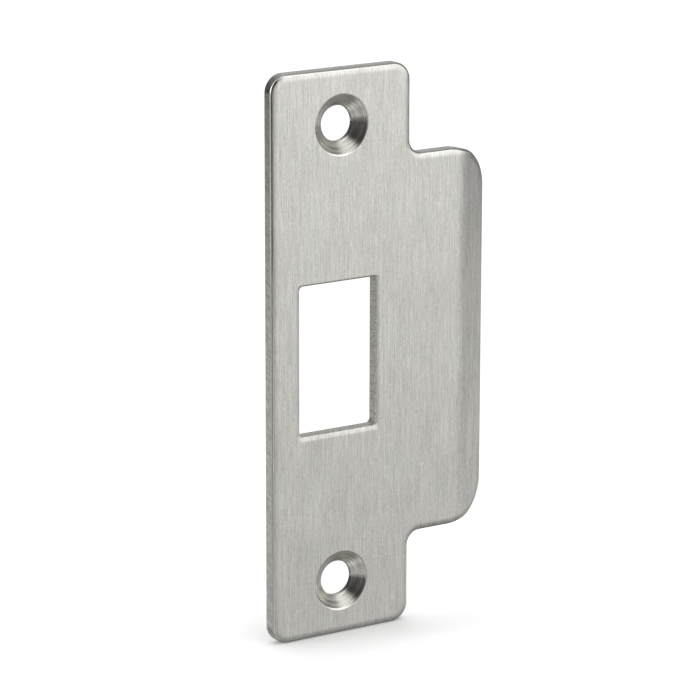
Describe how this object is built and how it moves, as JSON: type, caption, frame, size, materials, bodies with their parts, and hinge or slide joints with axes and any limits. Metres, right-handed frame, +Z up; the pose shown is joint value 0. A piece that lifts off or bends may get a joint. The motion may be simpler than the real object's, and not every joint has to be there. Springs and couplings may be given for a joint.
{
  "type": "door strike plate",
  "caption": "Flat stamped strike plate with a rectangular latch hole, countersunk screw holes and a side tongue whose rounded lip folds back.",
  "frame": {"origin": "on the back face, midway between the two screw holes", "axes": "+Y out of the back face into the door frame, +Z up along the plate's height, +X towards the lip; the brushed front faces -Y"},
  "size_m": [0.0547, 0.0051, 0.1238],
  "materials": {
    "brushed_stainless": "vertical hairline brushing, polished rolled edges"
  },
  "bodies": {
    "root": {"strike_plate": "brushed_stainless"}
  },
  "joints": []
}
